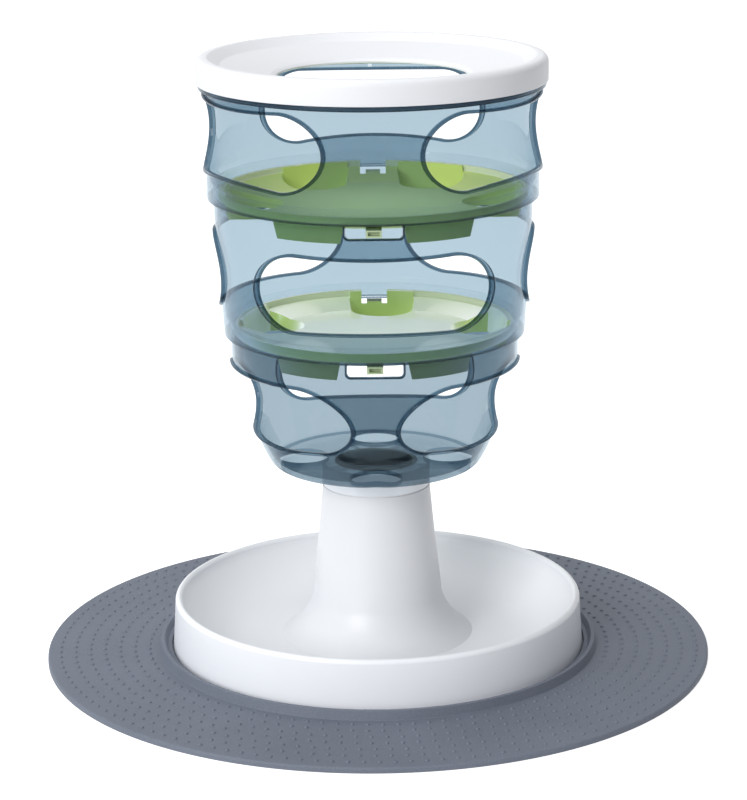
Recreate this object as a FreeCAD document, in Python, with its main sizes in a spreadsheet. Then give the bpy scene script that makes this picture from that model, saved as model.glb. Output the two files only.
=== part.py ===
import FreeCAD, Part
import Sketcher
import math
import os

# Cat food maze: a round mat, a dish with a hollow column, three clear shells
# stacked on the column, two turning food discs between them, and a ring lid.
# Millimetres and degrees. Z is up, the floor is z = 0, the front faces -Y.

doc = FreeCAD.newDocument("FoodMaze")
sheet = doc.addObject("Spreadsheet::Sheet", "sizes")

sizes = {
    # mat
    "mat_radius": 177.5,
    "mat_thick": 3.0,
    "mat_edge_round": 1.2,
    "ring_height": 5.0,
    "ring_taper": 1.2,
    "ring_wall": 1.9,
    "ring_slope": 1.7,
    "ring_step_height": 2.0,
    "ring_step_width": 2.2,
    "dish_seat_gap": 0.8,
    # dish and column
    "dish_radius": 110.2,
    "dish_rim_outer": 108.6,
    "dish_rim_inner": 104.4,
    "dish_height": 28.5,
    "dish_rim_round": 2.6,
    "dish_wall": 2.6,
    "dish_floor_height": 6.0,
    "dish_floor_radius": 70.0,
    "flare_start_radius": 51.0,
    "flare_height": 27.5,
    "flare_radius": 34.8,
    "flare_round": 38.0,
    "column_waist_height": 66.0,
    "column_waist_radius": 30.6,
    "column_height": 101.5,
    "column_radius": 28.5,
    "column_bore": 22.0,
    "column_neck_height": 14.0,
    "column_line_drop": 12.0,
    "column_line_depth": 0.5,
    "column_line_width": 0.8,
    # fits shared by the stack
    "fit_gap": 0.3,
    "shell_wall": 2.2,
    "neck_wall": 2.0,
    "belt_wall": 3.2,
    "belt_depth": 8.0,
    "seat_ring": 2.0,
    "seat_ring_width": 2.1,
    "ledge_width": 2.3,
    "ledge_thick": 2.0,
    # lower shell, the bowl
    "bowl_neck_radius": 75.2,
    "bowl_height": 79.5,
    "bowl_neck_foot": 58.5,
    "bowl_cone_foot": 18.0,
    "bowl_cone_inset": 12.4,
    "bowl_side_round": 60.0,
    "bowl_corner_height": 3.2,
    "bowl_corner_inset": 6.5,
    "bowl_corner_round": 6.0,
    "bowl_foot_inset": 4.8,
    "bowl_floor": 2.5,
    "bowl_hub_radius": 18.4,
    "bowl_hub_height": 2.4,
    "bowl_spigot_depth": 10.0,
    "bowl_spigot_wall": 2.2,
    "bowl_hole_radius": 13.5,
    "bowl_hole_reach": 36.5,
    "bowl_opening_centre": 38.0,
    "bowl_opening_half": 52.0,
    "bowl_opening_round": 18.0,
    # middle shell
    "middle_flare": 3.8,
    "middle_height": 80.0,
    "middle_neck_foot": 64.0,
    "middle_opening_centre": 35.0,
    "middle_opening_half": 59.0,
    "middle_opening_round": 20.0,
    # upper shell
    "upper_height": 58.8,
    "upper_opening_centre": 34.0,
    "upper_opening_half": 59.0,
    "upper_opening_round": 20.0,
    "flange_reach": 3.5,
    "flange_thick": 1.8,
    # lips round the paw openings, and the windows for the disc tabs
    "lip_width": 1.8,
    "lip_height": 2.5,
    "window_side": 10.5,
    "window_height": 7.3,
    "window_round": 2.2,
    # food discs
    "disc_plate": 2.0,
    "disc_depth": 8.0,
    "disc_rim_wall": 1.8,
    "disc_rim_face": 3.2,
    "upper_rim_height": 3.4,
    "lower_rim_height": 4.8,
    "disc_floor_radius": 58.0,
    "collar_wall": 1.6,
    "collar_gap": 0.6,
    "upper_collar_depth": 6.2,
    "lower_collar_depth": 7.2,
    "well_radius": 17.5,
    "upper_well_inset": 20.5,
    "lower_well_inset": 16.7,
    "upper_well_angle": 30.0,
    "lower_well_turn": 4.0,
    "notch_half": 7.0,
    "upper_notch_depth": 12.2,
    "upper_notch_drop": 4.4,
    "lower_notch_depth": 6.9,
    "lower_notch_drop": 2.4,
    "tab_half": 4.5,
    "tab_thick": 3.7,
    "tab_arm": 14.0,
    "upper_tab_drop": 6.4,
    "lower_tab_drop": 5.0,
    "tab_reach": 0.4,
    # lid
    "lid_overhang": 0.9,
    "lid_height": 13.7,
    "lid_edge_round": 3.6,
    "lid_crest_inset": 5.9,
    "lid_slope_inset": 12.4,
    "lid_slope_height": 9.6,
    "lid_hole_radius": 48.0,
    "lid_hole_height": 4.2,
    "lid_wall": 2.4,
    "lid_spigot_depth": 3.0,
}

for row, (name, value) in enumerate(sizes.items(), 1):
    sheet.set(f"A{row}", name)
    sheet.set(f"B{row}", str(value))
    sheet.setAlias(f"B{row}", name)
doc.recompute()


class Size:
    # A number together with the sheet expression that gives it

    def __init__(self, text, number):
        self.text = text
        self.number = number

    def __add__(self, other):
        other = as_size(other)
        return Size(f"({self.text} + {other.text})", self.number + other.number)

    def __sub__(self, other):
        other = as_size(other)
        return Size(f"({self.text} - {other.text})", self.number - other.number)

    def __mul__(self, other):
        other = as_size(other)
        return Size(f"({self.text} * {other.text})", self.number * other.number)

    def __truediv__(self, other):
        other = as_size(other)
        return Size(f"({self.text} / {other.text})", self.number / other.number)

    def __rsub__(self, other):
        return as_size(other) - self

    def __rmul__(self, other):
        return as_size(other) * self

    def __neg__(self):
        return Size(f"(0 - {self.text})", -self.number)


def as_size(value):
    if isinstance(value, Size):
        return value
    return Size(str(value), float(value))


def size(name):
    return Size(f"sizes.{name}", sizes[name])


def sine(degrees):
    return Size(f"sin({degrees.text})", math.sin(math.radians(degrees.number)))


def cosine(degrees):
    return Size(f"cos({degrees.text})", math.cos(math.radians(degrees.number)))


def vector(x, y):
    return FreeCAD.Vector(x, y, 0)


AXIS = as_size(0)
START, END, CENTRE = 1, 2, 3
ORIGIN = (-1, 1)


# Bodies, sketches and their dimensions

def new_body(label, height=None):
    body = doc.addObject("PartDesign::Body", label)
    body.Label = label
    body.Placement = FreeCAD.Placement()
    if height is not None:
        body.setExpression("Placement.Base.z", height.text)
    return body


def origin_feature(body, role):
    return [item for item in body.Origin.OriginFeatures if item.Role == role][0]


def new_sketch(body, name, role, lift=None):
    sketch = body.newObject("Sketcher::SketchObject", f"{body.Label}_{name}")
    sketch.AttachmentSupport = [(origin_feature(body, role), "")]
    sketch.MapMode = "FlatFace"
    if lift is not None:
        sketch.setExpression("AttachmentOffset.Base.z", lift.text)
    return sketch


def bind(sketch, kind, refs, value):
    # one dimension of the sketch, tied to the sheet
    index = sketch.addConstraint(Sketcher.Constraint(kind, *refs, value.number))
    sketch.setExpression(f"Constraints[{index}]", value.text)


def place_point(sketch, geometry, point, x, y):
    bind(sketch, "DistanceX", (*ORIGIN, geometry, point), x)
    bind(sketch, "DistanceY", (*ORIGIN, geometry, point), y)


def join(sketch, kind, first, second):
    sketch.addConstraint(Sketcher.Constraint(kind, *first, *second))


def arc_between(start, end, radius, turn):
    # the short arc from start to end; turn is 1 anticlockwise, -1 clockwise
    chord = end - start
    half = chord.Length / 2
    rise = math.sqrt(max(radius * radius - half * half, 0))
    across = vector(-chord.y, chord.x).normalize()
    centre = start + chord * 0.5 + across * rise * turn
    first, last = (start, end) if turn > 0 else (end, start)
    begin = math.atan2(first.y - centre.y, first.x - centre.x)
    finish = math.atan2(last.y - centre.y, last.x - centre.x)
    if finish < begin:
        finish += 2 * math.pi
    circle = Part.Circle(centre, FreeCAD.Vector(0, 0, 1), radius)
    return Part.ArcOfCircle(circle, begin, finish)


def closed_outline(sketch, corners):
    # corners are (x, y) where a straight edge follows, and
    # (x, y, radius, turn) where an arc leads to the next corner
    base = sketch.GeometryCount
    count = len(corners)
    spots = [vector(corner[0].number, corner[1].number) for corner in corners]
    ends = []
    for index, corner in enumerate(corners):
        here = spots[index]
        there = spots[(index + 1) % count]
        if len(corner) == 2:
            sketch.addGeometry(Part.LineSegment(here, there), False)
            ends.append((START, END))
        else:
            radius, turn = corner[2:]
            sketch.addGeometry(arc_between(here, there, radius.number, turn), False)
            ends.append((START, END) if turn > 0 else (END, START))
    for index, corner in enumerate(corners):
        after = (index + 1) % count
        join(sketch, "Coincident", (base + index, ends[index][1]), (base + after, ends[after][0]))
        place_point(sketch, base + index, ends[index][0], corner[0], corner[1])
        if len(corner) == 4:
            bind(sketch, "Radius", (base + index,), corner[2])


def slot_outline(sketch, centre_y, half_length, radius):
    # a level slot with round ends
    base = sketch.GeometryCount
    right, top, left, bottom = range(base, base + 4)
    reach = half_length - radius
    up = FreeCAD.Vector(0, 0, 1)
    x, y, r = reach.number, centre_y.number, radius.number
    quarter = math.pi / 2
    sketch.addGeometry(Part.ArcOfCircle(Part.Circle(vector(x, y), up, r), -quarter, quarter), False)
    sketch.addGeometry(Part.LineSegment(vector(x, y + r), vector(-x, y + r)), False)
    sketch.addGeometry(Part.ArcOfCircle(Part.Circle(vector(-x, y), up, r), quarter, 3 * quarter), False)
    sketch.addGeometry(Part.LineSegment(vector(-x, y - r), vector(x, y - r)), False)
    for first, second in ((right, top), (top, left), (left, bottom), (bottom, right)):
        join(sketch, "Tangent", (first, END), (second, START))
    place_point(sketch, right, CENTRE, reach, centre_y)
    place_point(sketch, left, CENTRE, -reach, centre_y)
    bind(sketch, "Radius", (right,), radius)
    sketch.addConstraint(Sketcher.Constraint("Equal", right, left))


def well_outline(sketch, radius, run):
    # a round end on the origin with straight sides along X, as long as run
    round_end, near_side, far_end, far_side = range(4)
    quarter = math.pi / 2
    r, reach = radius.number, run.number
    circle = Part.Circle(vector(0, 0), FreeCAD.Vector(0, 0, 1), r)
    sketch.addGeometry(Part.ArcOfCircle(circle, quarter, 3 * quarter), False)
    sketch.addGeometry(Part.LineSegment(vector(0, -r), vector(reach, -r)), False)
    sketch.addGeometry(Part.LineSegment(vector(reach, -r), vector(reach, r)), False)
    sketch.addGeometry(Part.LineSegment(vector(reach, r), vector(0, r)), False)
    join(sketch, "Tangent", (round_end, END), (near_side, START))
    join(sketch, "Coincident", (near_side, END), (far_end, START))
    join(sketch, "Coincident", (far_end, END), (far_side, START))
    join(sketch, "Tangent", (far_side, END), (round_end, START))
    join(sketch, "Coincident", (round_end, CENTRE), ORIGIN)
    sketch.addConstraint(Sketcher.Constraint("Horizontal", near_side))
    sketch.addConstraint(Sketcher.Constraint("Horizontal", far_side))
    bind(sketch, "Radius", (round_end,), radius)
    bind(sketch, "DistanceX", (*ORIGIN, near_side, END), run)
    bind(sketch, "DistanceX", (*ORIGIN, far_side, START), run)


def rectangle(sketch, left, right, bottom, top):
    closed_outline(sketch, [(left, bottom), (right, bottom), (right, top), (left, top)])


# Features

def turned(body, kind, name, corners):
    # a Revolution or Groove of one half section about the upright axis
    sketch = new_sketch(body, name, "XZ_Plane")
    closed_outline(sketch, corners)
    feature = body.newObject(f"PartDesign::{kind}", f"{body.Label}_{name}_turned")
    feature.Profile = sketch
    feature.ReferenceAxis = (sketch, ["V_Axis"])
    feature.Angle = 360
    sketch.Visibility = False
    doc.recompute()
    return feature


def extruded(body, kind, sketch, length, reverse=False, both_ways=False):
    feature = body.newObject(f"PartDesign::{kind}", f"{sketch.Name}_{kind.lower()}")
    feature.Profile = sketch
    feature.Reversed = reverse
    if both_ways:
        feature.Midplane = True
    feature.setExpression("Length", length.text)
    sketch.Visibility = False
    doc.recompute()
    return feature


def in_three(body, feature):
    # the feature again at each third of a turn about the upright axis
    pattern = body.newObject("PartDesign::PolarPattern", f"{feature.Name}_in_three")
    pattern.Originals = [feature]
    pattern.Axis = (origin_feature(body, "Z_Axis"), [""])
    pattern.Angle = 360
    pattern.Occurrences = 3
    body.Tip = pattern
    doc.recompute()
    return pattern


# Each belt of the stack goes over the neck below it, so its radius follows from that neck

bowl_neck_radius = size("bowl_neck_radius")
belt_step = size("fit_gap") + size("belt_wall")
middle_belt_radius = bowl_neck_radius + belt_step
middle_neck_radius = middle_belt_radius + size("middle_flare")
upper_belt_radius = middle_neck_radius + belt_step
flange_radius = upper_belt_radius + size("flange_reach")


# Heights at which each piece of the stack is seated. A disc rests on the ledge in a
# neck, level with the foot of the belt above it.

dish_base = size("mat_thick")
bowl_base = dish_base + size("column_height")
bowl_ledge = size("bowl_height") - size("belt_depth")
middle_base = bowl_base + bowl_ledge
middle_ledge = size("middle_height") - size("belt_depth")
upper_base = middle_base + middle_ledge
lid_base = upper_base + size("upper_height")


# Mat: a flat rubber disc with a raised ring that keeps the dish in place

def make_mat():
    mat = new_body("mat")
    top = size("mat_thick")
    ring_top = top + size("ring_height")
    step_top = top + size("ring_step_height")
    seat = size("dish_radius") + size("dish_seat_gap")
    step = seat + size("ring_step_width")
    ring_inner = step + size("ring_slope")
    ring_outer = ring_inner + size("ring_wall")
    edge = size("mat_edge_round")
    turned(mat, "Revolution", "section", [
        (AXIS, AXIS),
        (size("mat_radius"), AXIS),
        (size("mat_radius"), top - edge, edge, 1),
        (size("mat_radius") - edge, top),
        (ring_outer + size("ring_taper"), top),
        (ring_outer, ring_top),
        (ring_inner, ring_top),
        (step, step_top),
        (seat, step_top),
        (seat, top),
        (AXIS, top),
    ])
    return mat


# Dish: an open-bottomed skirt, a curved trough and the hollow column, all one wall

def make_dish():
    dish = new_body("dish", dish_base)
    wall = size("dish_wall")
    top = size("dish_height")
    floor = size("dish_floor_height")
    column_top = size("column_height")
    rim_foot = top - size("dish_rim_round")
    rim_middle = (size("dish_rim_outer") + size("dish_rim_inner")) / 2
    run = size("dish_rim_inner") - size("dish_floor_radius")
    climb = rim_foot - floor
    trough = (run * run + climb * climb) / (climb * 2)
    line_top = column_top - size("column_line_drop")
    line_foot = line_top - size("column_line_width")
    line_radius = size("column_radius") - size("column_line_depth")
    turned(dish, "Revolution", "outside", [
        (AXIS, AXIS),
        (size("dish_radius"), AXIS),
        (size("dish_rim_outer"), rim_foot, size("dish_rim_round"), 1),
        (rim_middle, top, size("dish_rim_round"), 1),
        (size("dish_rim_inner"), rim_foot, trough, -1),
        (size("dish_floor_radius"), floor),
        (size("flare_start_radius"), floor, size("flare_round"), -1),
        (size("flare_radius"), size("flare_height")),
        (size("column_waist_radius"), size("column_waist_height")),
        (size("column_radius"), line_foot),
        (line_radius, line_foot),
        (line_radius, line_top),
        (size("column_radius"), line_top),
        (size("column_radius"), column_top),
        (AXIS, column_top),
    ])
    neck_foot = column_top - size("column_neck_height")
    flare_run = size("flare_start_radius") - size("flare_radius")
    flare_climb = size("flare_height") - floor
    turned(dish, "Groove", "hollow", [
        (AXIS, AXIS),
        (size("flare_start_radius") - wall, AXIS),
        (size("flare_start_radius") - wall, floor - wall),
        (size("flare_start_radius") - flare_run / 2 - wall, floor + flare_climb * 0.22),
        (size("flare_radius") - wall, size("flare_height")),
        (size("column_waist_radius") - wall, size("column_waist_height")),
        (size("column_radius") - wall, neck_foot),
        (size("column_bore"), neck_foot + wall),
        (size("column_bore"), column_top),
        (AXIS, column_top),
    ])
    skirt_in = size("dish_radius") - wall
    skirt_head = size("dish_rim_outer") - wall
    under = floor - wall
    turned(dish, "Groove", "underside", [
        (size("flare_start_radius"), AXIS),
        (skirt_in, AXIS),
        (skirt_head, rim_foot - wall),
        (size("dish_floor_radius") + run * 0.8, under + climb * 0.48),
        (size("dish_floor_radius") + run * 0.43, under + climb * 0.11),
        (size("dish_floor_radius"), under),
        (size("flare_start_radius"), under),
    ])
    return dish


# Paw openings: a raised lip and a slot with round ends, three times round.
# wall_lines gives the outside of the wall, as (radius, height), over the lips.

def add_lips(shell, centre, half, radius, wall_lines, at_back):
    grow = size("lip_width")
    sketch = new_sketch(shell, "lip_outline", "XZ_Plane")
    slot_outline(sketch, centre, half + grow, radius + grow)
    reach = wall_lines[0][0] + size("lip_height") * 4
    lips = extruded(shell, "Pad", sketch, reach, reverse=at_back)
    in_three(shell, lips)
    rise = size("lip_height")
    beyond = reach * 2
    first, last = wall_lines
    turned(shell, "Groove", "lip_trim", [
        (first[0] + rise, first[1]),
        (beyond, first[1]),
        (beyond, last[1]),
        (last[0] + rise, last[1]),
    ])


def cut_openings(shell, centre, half, radius, reach, at_back):
    sketch = new_sketch(shell, "opening_outline", "XZ_Plane")
    slot_outline(sketch, centre, half, radius)
    opening = extruded(shell, "Pocket", sketch, reach, reverse=not at_back)
    in_three(shell, opening)


def cut_windows(shell, neck_radius, ledge):
    # the two windows, front and back, that the disc tabs reach through
    head = ledge
    foot = ledge - size("window_height")
    half = size("tab_half") + size("window_side")
    round_off = size("window_round")
    sketch = new_sketch(shell, "window_outline", "XZ_Plane")
    closed_outline(sketch, [
        (-half, head),
        (-half, foot + round_off, round_off, 1),
        (round_off - half, foot),
        (half - round_off, foot, round_off, 1),
        (half, foot + round_off),
        (half, head),
    ])
    extruded(shell, "Pocket", sketch, neck_radius * 3, both_ways=True)


def neck_inside(neck_radius, top, ledge):
    # inner corners of a neck, from its top down to the foot of the disc ledge
    inner = neck_radius - size("neck_wall")
    lip = inner - size("ledge_width")
    return [
        (inner, top),
        (inner, ledge),
        (lip, ledge),
        (lip, ledge - size("ledge_thick")),
        (inner, ledge - size("ledge_thick") - size("ledge_width")),
    ]


def belt_inside(neck_radius, wall_radius):
    # inner corners of a belt, from the wall above it down to its open foot:
    # the seat ring rests on the neck of the shell below
    seat = size("belt_depth")
    ring = neck_radius - size("seat_ring_width")
    return [
        (wall_radius, seat + size("seat_ring")),
        (ring, seat + size("seat_ring")),
        (ring, seat),
        (neck_radius + size("fit_gap"), seat),
        (neck_radius + size("fit_gap"), AXIS),
    ]


# Lower shell: a bowl with a round bottom, seated in the column by its spigot

def make_bowl():
    bowl = new_body("lower_shell", bowl_base)
    top = size("bowl_height")
    neck = bowl_neck_radius
    neck_foot = size("bowl_neck_foot")
    cone = (neck - size("bowl_cone_inset"), size("bowl_cone_foot"))
    corner = (cone[0] - size("bowl_corner_inset"), size("bowl_corner_height"))
    foot = corner[0] - size("bowl_foot_inset")
    wall = size("shell_wall")
    floor = size("bowl_floor")
    spigot = size("column_bore") - size("fit_gap")
    spigot_in = spigot - size("bowl_spigot_wall")
    depth = size("bowl_spigot_depth")
    turned(bowl, "Revolution", "outside", [
        (AXIS, AXIS),
        (spigot_in, AXIS),
        (spigot_in, -depth),
        (spigot, -depth),
        (spigot, AXIS),
        (foot, AXIS, size("bowl_corner_round"), 1),
        (*corner, size("bowl_side_round"), 1),
        cone,
        (neck, neck_foot),
        (neck, top),
        (AXIS, top),
    ])
    centre = size("bowl_opening_centre")
    half = size("bowl_opening_half")
    radius = size("bowl_opening_round")
    add_lips(bowl, centre, half, radius, [(neck, neck_foot), cone], True)
    hub = size("bowl_hub_radius")
    hub_top = floor + size("bowl_hub_height")
    turned(bowl, "Groove", "hollow", [
        (AXIS, hub_top),
        (hub, hub_top),
        (hub + size("bowl_hub_height"), floor),
        (foot - wall / 2, floor),
        (corner[0] - wall, corner[1] + wall, size("bowl_side_round") - wall, 1),
        (cone[0] - wall, cone[1]),
        (neck - wall, neck_foot),
        *reversed(neck_inside(neck, top, bowl_ledge)),
        (AXIS, top),
    ])
    cut_openings(bowl, centre, half, radius, neck + size("lip_height") * 4, True)
    cut_windows(bowl, neck, bowl_ledge)
    holes = new_sketch(bowl, "hole_outline", "XY_Plane")
    reach = size("bowl_hole_reach")
    for x, y in ((reach, AXIS), (AXIS, reach), (-reach, AXIS), (AXIS, -reach)):
        index = holes.GeometryCount
        circle = Part.Circle(vector(x.number, y.number), FreeCAD.Vector(0, 0, 1), 1)
        holes.addGeometry(circle, False)
        place_point(holes, index, CENTRE, x, y)
        bind(holes, "Radius", (index,), size("bowl_hole_radius"))
    extruded(bowl, "Pocket", holes, size("bowl_floor") * 3, both_ways=True)
    return bowl


# Middle shell: a cone that opens upward, a belt below and a neck above

def make_middle_shell():
    shell = new_body("middle_shell", middle_base)
    top = size("middle_height")
    neck = middle_neck_radius
    neck_foot = size("middle_neck_foot")
    belt = middle_belt_radius
    wall = size("shell_wall")
    turned(shell, "Revolution", "outside", [
        (AXIS, AXIS),
        (belt, AXIS),
        (neck, neck_foot),
        (neck, top),
        (AXIS, top),
    ])
    centre = size("middle_opening_centre")
    half = size("middle_opening_half")
    radius = size("middle_opening_round")
    add_lips(shell, centre, half, radius, [(neck, neck_foot), (belt, AXIS)], False)
    seat_top = size("belt_depth") + size("seat_ring")
    slope = (neck - belt) / neck_foot
    above_belt = belt + slope * seat_top - wall
    turned(shell, "Groove", "hollow", [
        (AXIS, AXIS),
        *reversed(belt_inside(bowl_neck_radius, above_belt)),
        (neck - wall, neck_foot),
        *reversed(neck_inside(neck, top, middle_ledge)),
        (AXIS, top),
    ])
    cut_openings(shell, centre, half, radius, neck + size("lip_height") * 4, False)
    cut_windows(shell, neck, middle_ledge)
    return shell


# Upper shell: an upright wall with a belt below and a flange for the lid

def make_upper_shell():
    shell = new_body("upper_shell", upper_base)
    top = size("upper_height")
    outer = upper_belt_radius
    inner = outer - size("shell_wall")
    flange_foot = top - size("flange_thick")
    turned(shell, "Revolution", "outside", [
        (AXIS, AXIS),
        (outer, AXIS),
        (outer, flange_foot),
        (flange_radius, flange_foot),
        (flange_radius, top),
        (AXIS, top),
    ])
    centre = size("upper_opening_centre")
    half = size("upper_opening_half")
    radius = size("upper_opening_round")
    add_lips(shell, centre, half, radius, [(outer, AXIS), (outer, flange_foot)], True)
    turned(shell, "Groove", "hollow", [
        (AXIS, AXIS),
        *reversed(belt_inside(middle_neck_radius, inner)),
        (inner, top),
        (AXIS, top),
    ])
    cut_openings(shell, centre, half, radius, outer + size("lip_height") * 4, True)
    return shell


# Solids made from a free sketch, and the ways they are put together

def free_sketch(name):
    sketch = doc.addObject("Sketcher::SketchObject", name)
    sketch.Visibility = False
    return sketch


def prism(name, sketch, foot, length, spot=None, heading=0):
    solid = doc.addObject("Part::Extrusion", name)
    solid.Base = sketch
    solid.DirMode = "Normal"
    solid.Solid = True
    up = FreeCAD.Vector(0, 0, 1)
    solid.Placement = FreeCAD.Placement(FreeCAD.Vector(), FreeCAD.Rotation(up, heading))
    solid.setExpression("LengthFwd", length.text)
    solid.setExpression("Placement.Base.z", foot.text)
    if spot is not None:
        solid.setExpression("Placement.Base.x", spot[0].text)
        solid.setExpression("Placement.Base.y", spot[1].text)
    return solid


def combined(name, kind, solids):
    result = doc.addObject(f"Part::{kind}", name)
    result.Shapes = solids
    return result


def cut_from(name, base, tool):
    result = doc.addObject("Part::Cut", name)
    result.Base = base
    result.Tool = tool
    return result


def drum(name, radius, foot, length):
    solid = doc.addObject("Part::Cylinder", name)
    solid.setExpression("Radius", radius.text)
    solid.setExpression("Height", length.text)
    solid.setExpression("Placement.Base.z", foot.text)
    return solid


def opposite_blocks(name, half, inner, beyond, foot, length):
    # the same block at the front and at the back
    sketch = free_sketch(f"{name}_outline")
    rectangle(sketch, -half, half, inner, beyond)
    rectangle(sketch, -half, half, -beyond, -inner)
    return prism(name, sketch, foot, length)


def drop_shapes(name, radius, outer, wells, reach, foot, length):
    # one upright prism for each well, all ended by a drum about the axis
    sketch = free_sketch(f"{name}_outline")
    well_outline(sketch, radius, outer)
    prisms = []
    for count, (angle, heading) in enumerate(wells, 1):
        spot = (reach * cosine(angle), reach * sine(angle))
        prisms.append(prism(f"{name}_{count}", sketch, foot, length, spot, heading))
    together = combined(f"{name}_all", "MultiFuse", prisms)
    return combined(f"{name}_set", "MultiCommon", [together, drum(f"{name}_drum", outer, foot, length)])


# Food discs: a dished plate hung inside the ledge from a rim that rests on it, drop
# wells with collars below and a raised back in the rim, two notches and two tabs

def make_disc(level, height, neck_radius, reach, wells):
    label = f"{level}_disc"
    outer = neck_radius - size("neck_wall") - size("fit_gap")
    ledge = neck_radius - size("neck_wall") - size("ledge_width")
    rim_in = outer - size("disc_rim_wall")
    rim_top = size(f"{level}_rim_height")
    plate = size("disc_plate")
    plate_edge = rim_top - size("disc_rim_face")
    floor_top = rim_top - size("disc_depth")
    flat = size("disc_floor_radius")
    collar_outer = ledge - size("collar_gap")
    well_outer = collar_outer - size("collar_wall")
    collar_foot = floor_top - size(f"{level}_collar_depth")
    well_and_wall = size("well_radius") + size("collar_wall")
    blank = new_body(f"{label}_blank")
    turned(blank, "Revolution", "section", [
        (AXIS, floor_top - plate),
        (flat, floor_top - plate),
        (collar_outer, plate_edge - plate),
        (collar_outer, AXIS),
        (outer, AXIS),
        (outer, rim_top),
        (AXIS, rim_top),
    ])
    dishing = new_body(f"{label}_dishing")
    turned(dishing, "Revolution", "section", [
        (AXIS, floor_top),
        (flat, floor_top),
        (rim_in, plate_edge),
        (rim_in, rim_top * 2),
        (AXIS, rim_top * 2),
    ])
    collars = drop_shapes(
        f"{label}_collar", well_and_wall, collar_outer, wells, reach,
        collar_foot, plate_edge - collar_foot)
    notch_foot = -size(f"{level}_notch_drop")
    notches = opposite_blocks(
        f"{label}_notch", size("notch_half"), outer - size(f"{level}_notch_depth"), outer * 2,
        notch_foot, rim_top * 2 - notch_foot)
    tabs = opposite_blocks(
        f"{label}_tab", size("tab_half"), collar_outer - size("tab_arm"),
        neck_radius + size("tab_reach"), -size(f"{level}_tab_drop"), size("tab_thick"))
    backs = drop_shapes(f"{label}_back", well_and_wall, outer, wells, reach, AXIS, rim_top)
    core = drum(f"{label}_core", well_outer, AXIS, rim_top)
    drops = drop_shapes(
        f"{label}_well", size("well_radius"), well_outer, wells, reach,
        collar_foot * 2, rim_top * 2 - collar_foot * 2)
    solid = combined(f"{label}_solid", "MultiFuse", [blank, collars])
    armed = combined(f"{label}_armed", "MultiFuse", [cut_from(f"{label}_notched", solid, notches), tabs])
    around = combined(f"{label}_around", "MultiFuse", [core, notches])
    raised = cut_from(f"{label}_raised", backs, around)
    whole = combined(f"{label}_whole", "MultiFuse", [cut_from(f"{label}_dished", armed, dishing), raised])
    disc = cut_from(label, whole, drops)
    disc.Refine = True
    disc.Label = label
    disc.setExpression("Placement.Base.z", height.text)
    doc.recompute()
    return disc


def make_upper_disc():
    # six wells: two pairs that open to front and back, and one each side
    tilt = size("upper_well_angle")
    wells = [
        (tilt - 90, -90),
        (-tilt - 90, -90),
        (tilt + 90, 90),
        (-tilt + 90, 90),
        (AXIS, 0),
        (AXIS + 180, 180),
    ]
    reach = middle_neck_radius - size("upper_well_inset")
    return make_disc("upper", middle_base + middle_ledge, middle_neck_radius, reach, wells)


def make_lower_disc():
    # five wells, a fifth of a turn apart, the first one at the back
    turn = size("lower_well_turn")
    wells = [
        (90 - turn, 90),
        (162 - turn, 180),
        (234 - turn, -90),
        (306 - turn, -90),
        (18 - turn, 0),
    ]
    reach = bowl_neck_radius - size("lower_well_inset")
    return make_disc("lower", bowl_base + bowl_ledge, bowl_neck_radius, reach, wells)


# Lid: a ring with a raised edge, a shallow funnel and a central hole

def make_lid():
    lid = new_body("lid", lid_base)
    outer = flange_radius + size("lid_overhang")
    top = size("lid_height")
    edge = size("lid_edge_round")
    wall = size("lid_wall")
    slope = (outer - size("lid_slope_inset"), size("lid_slope_height"))
    hole = (size("lid_hole_radius"), size("lid_hole_height"))
    spigot = upper_belt_radius - size("shell_wall") - size("fit_gap")
    turned(lid, "Revolution", "section", [
        (outer, AXIS),
        (outer, top - edge, edge, 1),
        (outer - edge, top),
        (outer - size("lid_crest_inset"), top),
        slope,
        (hole[0] + wall, hole[1]),
        (hole[0], hole[1] - wall / 2),
        (hole[0], hole[1] - wall),
        (slope[0], slope[1] - wall),
        (spigot - wall, AXIS),
        (spigot - wall, -size("lid_spigot_depth")),
        (spigot, -size("lid_spigot_depth")),
        (spigot, AXIS),
    ])
    return lid


pieces = [
    make_mat(),
    make_dish(),
    make_bowl(),
    make_lower_disc(),
    make_middle_shell(),
    make_upper_disc(),
    make_upper_shell(),
    make_lid(),
]
doc.recompute()

for item in doc.Objects:
    if "Invalid" in item.State or "Error" in item.State:
        raise RuntimeError(f"{item.Name} did not build: {item.State}")
for piece in pieces:
    shape = piece.Shape
    if shape.isNull() or not shape.isValid():
        raise RuntimeError(f"{piece.Label} has no valid shape")
    if len(shape.Solids) != 1:
        raise RuntimeError(f"{piece.Label} is {len(shape.Solids)} solids")

os.makedirs("parts", exist_ok=True)
for piece in pieces:
    piece.Shape.exportStep(f"parts/{piece.Label}.step")
    box = piece.Shape.BoundBox
    print(f"{piece.Label}: {piece.Shape.Volume / 1000:.1f} cm3, z {box.ZMin:.1f} to {box.ZMax:.1f}, "
          f"radius {box.XMax:.1f}")
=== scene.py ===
import bmesh
import bpy
import math
from mathutils import Matrix, Vector


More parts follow.
